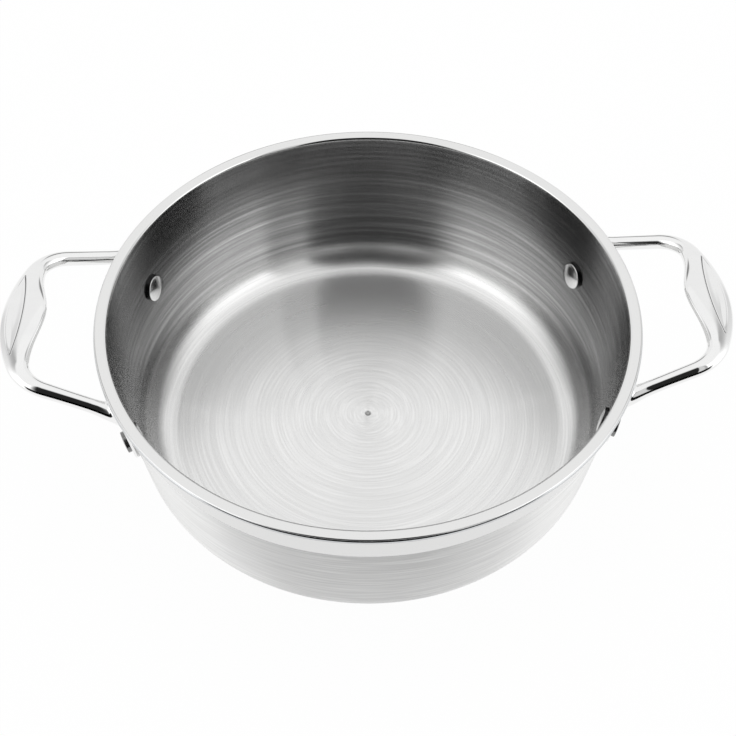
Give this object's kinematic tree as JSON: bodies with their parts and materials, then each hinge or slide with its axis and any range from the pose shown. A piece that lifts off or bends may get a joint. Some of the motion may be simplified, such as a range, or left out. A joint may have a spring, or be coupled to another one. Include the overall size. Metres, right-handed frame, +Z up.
{
  "type": "cooking pot",
  "caption": "Round shallow cooking pot of clad sheet with a turned-out lip and two riveted cast loop handles.",
  "frame": {"origin": "centre of the base's underside, where the pot stands", "axes": "+Z up along the pot's axis, +X through the right handle, -Y towards the front"},
  "size_m": [0.3642, 0.2716, 0.0959],
  "materials": {
    "interior_steel": "stainless steel, circular brushed inside with turned rings on the floor",
    "exterior_steel": "stainless steel, brushed round the wall below a polished band at the lip",
    "core_aluminium": "plain rolled, seen only at the lip's cut edge",
    "polished_steel": "cast stainless steel, mirror polished"
  },
  "bodies": {
    "root": {"inner_steel_ply": "interior_steel", "aluminium_core": "core_aluminium", "outer_steel_ply": "exterior_steel", "left_handle": "polished_steel", "right_handle": "polished_steel", "left_front_rivet": "polished_steel", "left_rear_rivet": "polished_steel", "right_front_rivet": "polished_steel", "right_rear_rivet": "polished_steel"}
  },
  "joints": []
}
